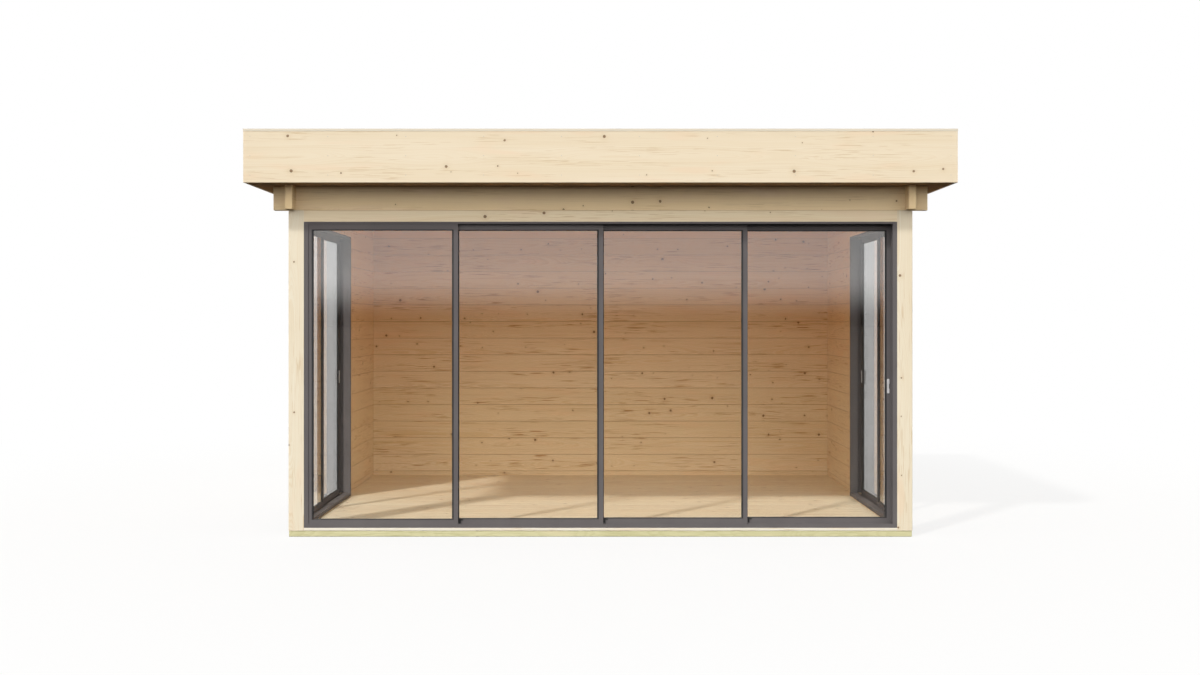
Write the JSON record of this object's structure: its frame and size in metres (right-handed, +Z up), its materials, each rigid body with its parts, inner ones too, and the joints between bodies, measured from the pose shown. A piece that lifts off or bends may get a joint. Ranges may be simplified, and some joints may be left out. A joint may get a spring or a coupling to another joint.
{
  "type": "garden office pod",
  "caption": "Flat-roofed timber garden room on a beam base, log walls behind, glazed front and side corners with panels that slide on parallel tracks.",
  "frame": {"origin": "ground level under the middle of the roof's footprint", "axes": "+X to the right seen from the glass front, +Y from the glass front to the back wall, +Z up"},
  "size_m": [4.776, 3.656, 2.766],
  "materials": {
    "planed_spruce": "planed, untreated, small knots",
    "impregnated_timber": "pressure impregnated, greenish, sawn",
    "floor_spruce": "planed tongue and groove boards",
    "roof_timber": "planed spruce boards and joists",
    "roof_membrane": "matt sheet",
    "edge_trim": "cream coated, folded",
    "anthracite_aluminium": "fine matt powder coat",
    "clear_glass": "polished, slightly tinted",
    "satin_handle": "satin anodised",
    "roller_nylon": "moulded"
  },
  "bodies": {
    "pod": {"back_fascia": "planed_spruce", "back_foundation_beam": "impregnated_timber", "back_top_log": "planed_spruce", "back_wall": "planed_spruce", "ceiling_boards": "roof_timber", "floor_boards": "floor_spruce", "floor_joists": "impregnated_timber", "front_door_head": "anthracite_aluminium", "front_door_jambs": "anthracite_aluminium", "front_door_sill": "anthracite_aluminium", "front_fascia": "planed_spruce", "front_foundation_beam": "impregnated_timber", "front_lintel": "planed_spruce", "front_panel_1_frame": "anthracite_aluminium", "front_panel_1_glass": "clear_glass", "front_sill_board": "planed_spruce", "front_top_log": "planed_spruce", "left_fascia": "planed_spruce", "left_fixed_panel_frame": "anthracite_aluminium", "left_fixed_panel_glass": "clear_glass", "left_front_post": "planed_spruce", "left_top_log": "planed_spruce", "left_wall": "planed_spruce", "right_fascia": "planed_spruce", "right_fixed_panel_frame": "anthracite_aluminium", "right_fixed_panel_glass": "clear_glass", "right_front_post": "planed_spruce", "right_top_log": "planed_spruce", "right_wall": "planed_spruce", "roof_deck": "roof_timber", "roof_edge_trim": "edge_trim", "roof_joists": "roof_timber", "roof_membrane": "roof_membrane", "side_door_heads": "anthracite_aluminium", "side_door_jambs": "anthracite_aluminium", "side_door_sills": "anthracite_aluminium", "side_foundation_beams": "impregnated_timber", "side_lintels": "planed_spruce", "side_sill_boards": "planed_spruce"},
    "front_panel_2": {"front_panel_2_frame": "anthracite_aluminium", "front_panel_2_glass": "clear_glass", "front_panel_2_rollers": "roller_nylon"},
    "front_panel_3": {"front_panel_3_frame": "anthracite_aluminium", "front_panel_3_glass": "clear_glass", "front_panel_3_rollers": "roller_nylon"},
    "front_panel_4": {"front_panel_4_frame": "anthracite_aluminium", "front_panel_4_glass": "clear_glass", "front_panel_4_handle": "satin_handle", "front_panel_4_rollers": "roller_nylon"},
    "left_sliding_panel": {"left_sliding_panel_frame": "anthracite_aluminium", "left_sliding_panel_glass": "clear_glass", "left_sliding_panel_handle": "satin_handle", "left_sliding_panel_rollers": "roller_nylon"},
    "right_sliding_panel": {"right_sliding_panel_frame": "anthracite_aluminium", "right_sliding_panel_glass": "clear_glass", "right_sliding_panel_handle": "satin_handle", "right_sliding_panel_rollers": "roller_nylon"}
  },
  "joints": [
    {"name": "front_panel_2_slide", "type": "slide", "parent": "pod", "child": "front_panel_2", "axis": [-1, 0, 0], "range_m": [0, 0.997]},
    {"name": "front_panel_3_slide", "type": "slide", "parent": "pod", "child": "front_panel_3", "axis": [-1, 0, 0], "range_m": [0, 1.994]},
    {"name": "front_panel_4_slide", "type": "slide", "parent": "pod", "child": "front_panel_4", "axis": [-1, 0, 0], "range_m": [0, 2.991]},
    {"name": "left_panel_slide", "type": "slide", "parent": "pod", "child": "left_sliding_panel", "axis": [0, -1, 0], "range_m": [0, 0.741]},
    {"name": "right_panel_slide", "type": "slide", "parent": "pod", "child": "right_sliding_panel", "axis": [0, -1, 0], "range_m": [0, 0.741]}
  ]
}
